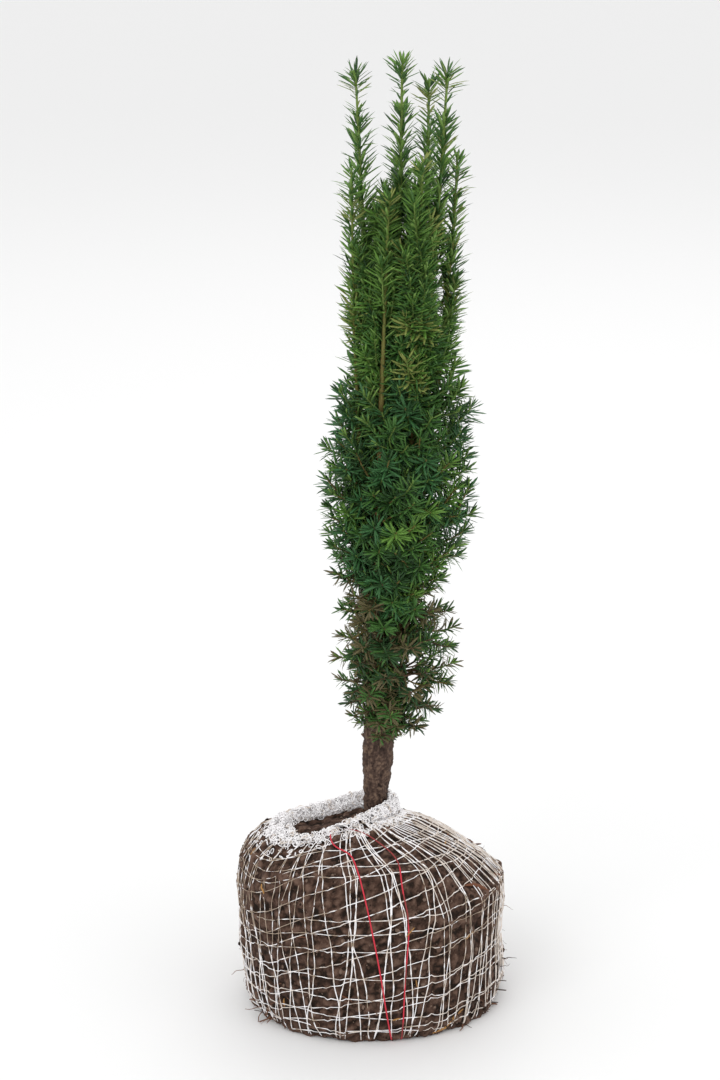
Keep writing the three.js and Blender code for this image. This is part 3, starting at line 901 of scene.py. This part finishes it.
# ---- Shoots --------------------------------------------------------------------------------------
# Side shoots branch from the leaders and from each other, and curve out and up to the outside of
# the crown, low ones nearly level and high ones steep. Young ones are green, older ones brown.
SHOOT_GAP = 18 * MM
TUFT_GAP = 21 * MM
TUFT_SHOOTS_END = 700 * MM
# How far a tip stays inside its mass, by zone, and how much further out it reaches on the right.
INSETS = {"low": (-6, 4), "mid": (-1, 8), "high": (3, 11), "tuft": (8, 14)}
RIGHT_REACH = 5 * MM
INNER_SHARE = 0.2
INNER_DEPTHS = (22, 32)
SAMPLE_COUNT = 1400
# What a place to branch from costs: for its distance off a good span, a radian off the slope for
# the tip's height, and turning back through the crown.
GOOD_SPAN = 44 * MM
SLOPE_COST = 50 * MM
SIDE_COST = 24 * MM
LEVEL_HEIGHTS = (0.25, 0.35, 0.5, 0.62, 0.8)
LEVEL_SLOPES = (-4, 12, 28, 52, 74)
SLOPE_SPREAD = 8
STEEPEST = math.radians(86)
SHOOT_STEPS = 9
SHOOT_SIDES = 5
SHOOT_RADIUS = 0.75 * MM
SHOOT_THICKENING = 0.009
SHOOT_AGES = (0.36, 0.52)
# Where new shoots can start, as steps along a leader and along a shoot.
LEADER_ANCHORS = slice(4, None)
SHOOT_ANCHORS = slice(2, 7)
AXIS_HEIGHTS = np.linspace(0.3, 0.8, 11)
AXIS_SLICE = 30 * MM
# Gaps that light shows through: the middle (x, z) and half sizes of each, at the crown's axis, in
# millimetres.
OPENINGS = [((39, 318), (6, 22)), ((43, 545), (5, 8)), ((69, 688), (3, 32)), ((38, 740), (3, 20))]
mass_nodes = [f"foliage_{tier}_{side}" for tier in ("low", "mid", "high")
              for side in ("front", "left", "right", "back")]
tuft_nodes = [f"tuft_{name}" for name in LEADERS]
mass_trees = {node: surface_tree(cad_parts[node]) for node in mass_nodes + tuft_nodes}


def zone_of(node):
    """The zone of the crown that a mass belongs to: low, mid, high or tuft."""
    return "tuft" if node in tuft_nodes else node.split("_")[1]


def inside(tree, place, heading):
    """Whether a place is inside a closed solid: a ray from it then leaves through a face."""
    _, normal, _, _ = tree.ray_cast(place, heading)
    return normal is not None and normal.dot(heading) > 0


def at_axis(places):
    """Where the lines of sight through places cross the upright plane of the crown's axis."""
    eye = np.array(CAMERA_PLACE)
    return eye + (places - eye) * (eye[1] / (eye[1] - places[..., 1:2]))


def in_opening(places):
    """Whether places lie in the line of sight through a gap of the crown."""
    seen = at_axis(places)
    return np.any([((seen[..., 0] / MM - x) / wide) ** 2 + ((seen[..., 2] / MM - z) / tall) ** 2 < 1
                   for (x, z), (wide, tall) in OPENINGS], axis=0)


def outer_samples(node, gap):
    """Places at least gap apart on the part of a mass's surface that faces the open air."""
    spots, normals = surface_samples(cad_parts[node], SAMPLE_COUNT, lambda centre, normal: 1)
    kept = []
    for spot, normal in zip(spots, normals):
        outside = Vector(spot + 7 * MM * normal)
        if any(inside(tree, outside, Vector(normal)) for other, tree in mass_trees.items()
               if other != node):
            continue
        if all(np.linalg.norm(spot - other[0]) > gap for other in kept):
            kept.append((spot, normal))
    return kept


tips = []
for node in mass_nodes + tuft_nodes:
    for spot, normal in outer_samples(node, TUFT_GAP if node in tuft_nodes else SHOOT_GAP):
        if node in tuft_nodes and spot[2] > TUFT_SHOOTS_END:
            continue
        inset = random.uniform(*INSETS[zone_of(node)]) * MM - (RIGHT_REACH if node.endswith("right") else 0)
        tips.append((spot - inset * normal, node))
        if random.random() < INNER_SHARE and node in mass_nodes:
            tips.append((spot - between(INNER_DEPTHS, random.random()) * MM * normal, node))

# The tips furthest from the leaders come first, so that nearer ones can branch from their shoots.
lines = leader_lines.values()
anchors = np.concatenate([path[LEADER_ANCHORS] for path in lines])
anchor_ways = np.concatenate([unit(np.gradient(path, axis=0))[LEADER_ANCHORS] for path in lines])
leader_tree = KDTree(len(anchors))
for index, point in enumerate(anchors):
    leader_tree.insert(point, index)
leader_tree.balance()
tips.sort(key=lambda tip: -leader_tree.find(tip[0])[2])

crown_axis = np.array([anchors[np.abs(anchors[:, 2] - height) < AXIS_SLICE].mean(0)
                       for height in AXIS_HEIGHTS])
shoots = []
for tip, node in tips:
    slope = math.radians(np.interp(tip[2], LEVEL_HEIGHTS, LEVEL_SLOPES) + random.normal(0, SLOPE_SPREAD))
    outward = tip[:2] - [np.interp(tip[2], AXIS_HEIGHTS, crown_axis[:, k]) for k in (0, 1)]
    steps_to = tip - anchors
    sideways = 1 - unit(steps_to[:, :2]) @ unit(outward)
    distance = np.linalg.norm(steps_to, axis=1)
    rise = np.arcsin(np.clip(steps_to[:, 2] / np.maximum(distance, 1e-9), -1, 1))
    cost = np.abs(distance - GOOD_SPAN) + SLOPE_COST * np.abs(rise - slope) + SIDE_COST * sideways
    best = cost.argmin()
    start, way, span = anchors[best], anchor_ways[best], distance[best]
    level = unit((tip - start) * np.array([1, 1, 0.0]))
    end_slope = min(slope + math.radians(8), STEEPEST)
    end_way = math.cos(end_slope) * level + math.sin(end_slope) * UP
    first_way = unit(0.45 * way + 0.75 * level + 0.15 * UP)
    t = np.linspace(0, 1, SHOOT_STEPS)[:, None]
    path = ((1 - t) ** 3 * start + 3 * t * (1 - t) ** 2 * (start + 0.38 * span * first_way)
            + 3 * t * t * (1 - t) * (tip - 0.35 * span * end_way) + t ** 3 * tip)
    if in_opening(tip):
        continue
    shoots.append((path, node))
    anchors = np.concatenate([anchors, path[SHOOT_ANCHORS]])
    anchor_ways = np.concatenate([anchor_ways, unit(np.gradient(path, axis=0))[SHOOT_ANCHORS]])

paths = np.array([path for path, _ in shoots])
lengths = np.linalg.norm(np.diff(paths, axis=1), axis=2).sum(1)
radii = (SHOOT_RADIUS + SHOOT_THICKENING * lengths[:, None]) * np.linspace(1, 0.55, SHOOT_STEPS)
points, faces = tubes(paths, radii, SHOOT_SIDES, np.tile([0.13, 0.21, -0.4], (len(paths), 1)))
shoot_tones = np.digitize(paths[:, -1, 2] + 0.06 * random.normal(size=len(paths)), SHOOT_AGES)

# Shoot bark: this year's is leaf green, last year's ochre, and older wood soil-dusted brown.
shoot_barks = [start_material(f"shoot_bark_{name}", colour, 0.7, Specular_IOR_Level=0.35)[0]
               for name, colour in (("old", "#5b4634"), ("ochre", "#7a6a3c"), ("green", "#6f8542"))]
twigs = build_mesh("side_shoots", points, faces, shoot_barks,
                   shoot_tones.repeat(len(faces) // len(paths)))
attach(twigs, "root")

# ---- Needles -------------------------------------------------------------------------------------
# Flat soft needles stand in a close spiral round every shoot and round the leaders' upper parts.
# Each is a few faces: a narrow foot, a keeled upper side, a paler underside and a pointed tip.
GOLDEN_TURN = math.radians(137.5)
NEEDLE_WIDTH = 2.5 * MM
NEEDLE_GAP = 0.72 * MM
CLOTHED = 46 * MM
# Each ring of a needle's corners: how far along it lies, its half width and its keel, as shares.
NEEDLE_RINGS = [(0.09, 0.22, 0.10), (0.36, 0.5, 0.16), (0.78, 0.42, 0.12)]
NEEDLE_SPREAD = 0.07
GROWN_HEIGHTS = (0.26, 0.34, 0.5, 0.7)
GROWN_LENGTHS = (13, 14.5, 16.5, 18.5)
# Needles lie in two flat rows on level shoots, and stand all round on shoots at this slope or more.
ROUND_SLOPE = math.radians(72)
# Leader ends by the way from the tip, in millimetres: how dense and how long the needles are, and
# how far they stand off. The tall leaders have a thin neck under their tips, and a long brush below.
TIP_STEP = 0.4 * MM
TIP_DENSITY = 0.6
TALL_TIPS = 850 * MM
TALL_DENSITY = ((0, 14, 20, 40, 46, 110, 150), (1.4, 1.2, 0.5, 0.4, 1, 0.9, 0.5))
TALL_LENGTHS = ((0, 4, 16, 22, 40, 50, 110), (15, 19, 19, 13, 14, 21, 22))
SHORT_DENSITY = ((0, 60, 120), (1, 0.9, 0.5))
SHORT_LENGTHS = ((0, 8, 50, 120), (12, 17, 18, 22))
TIP_ANGLES = ((0, 3, 12, 26, 50, 200), (16, 42, 54, 56, 42, 46))
LOWEST_TIP_NEEDLES = 500 * MM
TIP_SPRAY = 14
# One stretch of the front leader shows bare, and dust has mixed bronze into the sprays low down.
BARE_HALF = 3.2 * MM
BARE_FROM = 570 * MM
BARE_TO = 690 * MM
DUSTY_BELOW = 350 * MM
SECOND_SHARE = 0.2
DUSTY_SHARE = 0.5
UNDER_DEEP_SHARE = 0.45

# The corners (across, along, up) as shares of a needle's width and length, and its triangles.
outline = [(0, 0, 0)]
for along, half, keel in NEEDLE_RINGS:
    outline += [(-half, along, 0), (0, along, keel), (half, along, 0), (0, along, -0.6 * keel)]
outline = np.array(outline + [(0, 1, 0)], float)
upper, under = [(0, 2, 1), (0, 3, 2)], [(0, 4, 3), (0, 1, 4)]
for first in (1, 5):
    for a, b, side in ((0, 1, upper), (1, 2, upper), (2, 3, under), (3, 0, under)):
        side += [(first + a, first + b, first + b + 4), (first + a, first + b + 4, first + a + 4)]
upper += [(9, 10, 13), (10, 11, 13)]
under += [(11, 12, 13), (12, 9, 13)]
needle_faces = np.array(upper + under)
needle_upper = np.arange(len(needle_faces)) < len(upper)

# Yew needles: leathery and half glossy, deep and blue green in the middle of the crown, fresh yellow
# green towards its top, dusted bronze low down, and mostly paler beneath.
NEEDLE_TONES = {"deep": "#2a4a24", "mid": "#446d31", "fresh": "#638c3b", "blue": "#3d6b3e",
                "bronze": "#645c3d", "light": "#8a944e"}
UNDER_TONES = {"under_deep": "#456832", "under_pale": "#74954a"}
needle_greens = [start_material(f"needle_{name}", colour, 0.5, Specular_IOR_Level=0.32)[0]
                 for name, colour in {**NEEDLE_TONES, **UNDER_TONES}.items()]
TONE = {name: index for index, name in enumerate([*NEEDLE_TONES, *UNDER_TONES])}
SPRAY_TONES = {
    "low": (("deep", 0.24), ("mid", 0.28), ("bronze", 0.4), ("fresh", 0.08)),
    "mid": (("deep", 0.16), ("mid", 0.36), ("blue", 0.36), ("fresh", 0.12)),
    "high": (("deep", 0.04), ("mid", 0.32), ("blue", 0.02), ("fresh", 0.46), ("light", 0.16)),
    "tuft": (("mid", 0.4), ("fresh", 0.42), ("light", 0.18)),
}
NEIGHBOUR_TONE = {"deep": "mid", "mid": "deep", "fresh": "mid", "blue": "deep", "bronze": "deep",
                  "light": "fresh"}


def needles_on(path, sites, lengths, angles, tone_name, flatten, hook):
    """One spray: needles at sites, the lengths run from the path's foot. Returns for each needle its
    foot, heading, upper side, length, hook and tone."""
    run = run_of(path)
    foot = read_line(sites, run, path)
    along = unit(read_line(sites, run, unit(np.gradient(path, axis=0))))
    side = unit(np.cross(along, np.array([0.12, 0.31, 1.0])))
    above = np.cross(side, along)
    count = len(sites)
    turn = GOLDEN_TURN * np.arange(count) + random.random() * 6 + random.normal(0, 0.25, count)
    turn = turn - flatten * 0.5 * np.sin(2 * turn)
    radial = np.cos(turn)[:, None] * side + np.sin(turn)[:, None] * above
    heading = unit(np.cos(angles)[:, None] * along + np.sin(angles)[:, None] * radial
                   + NEEDLE_SPREAD * random.normal(size=radial.shape))
    top = unit(along + 0.9 * flatten * above)
    top = unit(top - (top * heading).sum(1, keepdims=True) * heading
               + 0.25 * random.normal(size=top.shape))
    top = unit(top - (top * heading).sum(1, keepdims=True) * heading)
    dusty = path[-1, 2] < DUSTY_BELOW
    second = "bronze" if dusty and tone_name != "bronze" else NEIGHBOUR_TONE[tone_name]
    share = DUSTY_SHARE if dusty else SECOND_SHARE
    tones = np.where(random.random(count) < share, TONE[second], TONE[tone_name])
    return foot, heading, top, lengths, hook, tones


def pick_tone(zone):
    """A spray's main tone, by the shares of its zone."""
    names, shares = zip(*SPRAY_TONES[zone])
    return random.choice(names, p=shares)


sprays = {node: [] for node in mass_nodes + tuft_nodes}
for path, node in shoots:
    run = run_of(path)[-1]
    clothed = min(CLOTHED, 0.82 * run)
    sites = run - 0.5 * MM - clothed * np.linspace(0, 1, int(clothed / NEEDLE_GAP)) ** 1.25
    back = (run - sites) / CLOTHED
    slope = math.asin(np.clip(unit(path[-1] - path[-3])[2], -1, 1))
    angles = np.radians(22 + 48 * np.clip(back * 6, 0, 1) ** 0.7)
    angles = angles * (1 - 0.25 * max(slope, 0) / (math.pi / 2))
    grown = np.interp(path[-1, 2], GROWN_HEIGHTS, GROWN_LENGTHS) * MM
    lengths = grown * (0.72 + 0.3 * np.clip(back * 5, 0, 1)) * random.normal(1, 0.09, len(sites))
    flatten = 0.8 * max(1 - slope / ROUND_SLOPE, 0)
    sprays[node].append(needles_on(path, sites, lengths, angles, pick_tone(zone_of(node)), flatten,
                                   random.normal(0.05, 0.06, len(sites))))

for name, path in leader_lines.items():
    run = run_of(path)
    lowest = np.interp(LOWEST_TIP_NEEDLES, path[:, 2], run)
    from_top = np.arange(0.5 * MM, run[-1] - lowest, TIP_STEP)
    tall = path[-1, 2] > TALL_TIPS
    density = np.interp(from_top / MM, *(TALL_DENSITY if tall else SHORT_DENSITY))
    from_top = from_top[random.random(len(from_top)) < TIP_DENSITY * density]
    grown = np.interp(from_top / MM, *(TALL_LENGTHS if tall else SHORT_LENGTHS)) * MM
    angles = np.radians(np.interp(from_top / MM, *TIP_ANGLES)) * random.normal(1, 0.14, len(from_top))
    sites = run[-1] - from_top
    for first in range(0, len(sites), TIP_SPRAY):
        group = slice(first, first + TIP_SPRAY)
        count = len(sites[group])
        sprays[f"tuft_{name}"].append(
            needles_on(path, sites[group], grown[group] * random.normal(1, 0.1, count), angles[group],
                       pick_tone("tuft"), 0, random.normal(0.1, 0.08, count)))


def over_bare_stem(places):
    """Whether places hide the stretch of the front leader that shows bare."""
    seen, line = at_axis(places), at_axis(leader_lines["front"])
    aside = np.abs(seen[:, 0] - np.interp(seen[:, 2], line[:, 2], line[:, 0]))
    return (aside < BARE_HALF) & (seen[:, 2] > BARE_FROM) & (seen[:, 2] < BARE_TO) & (places[:, 1] < 0)


for node, groups in sprays.items():
    needles = [np.concatenate(values) for values in zip(*groups)]
    halfway = needles[0] + 0.6 * needles[3][:, None] * needles[1]
    shown = ~(in_opening(halfway) | over_bare_stem(halfway))
    foot, heading, top, lengths, hook, tones = (values[shown] for values in needles)
    side = np.cross(heading, top)
    widths = NEEDLE_WIDTH * random.normal(1, 0.08, len(foot)) * (lengths / (18 * MM)) ** 0.5
    across, along, up = (outline[None, :, k:k + 1] for k in range(3))
    points = (foot[:, None] + along * (lengths[:, None] * heading)[:, None]
              + across * (widths[:, None] * side)[:, None] + up * (widths[:, None] * top)[:, None]
              - along ** 2 * ((hook * lengths)[:, None] * top)[:, None])
    under = np.where(random.random(len(foot)) < UNDER_DEEP_SHARE, TONE["under_deep"], TONE["under_pale"])
    face_tones = np.where(needle_upper[None], tones[:, None], under[:, None])
    piece = build_mesh("needles_" + node.replace("foliage_", ""), points.reshape(-1, 3),
                       repeat_faces(needle_faces, len(foot), len(outline)), needle_greens,
                       face_tones.ravel())
    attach(piece, "root")
    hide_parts(node)
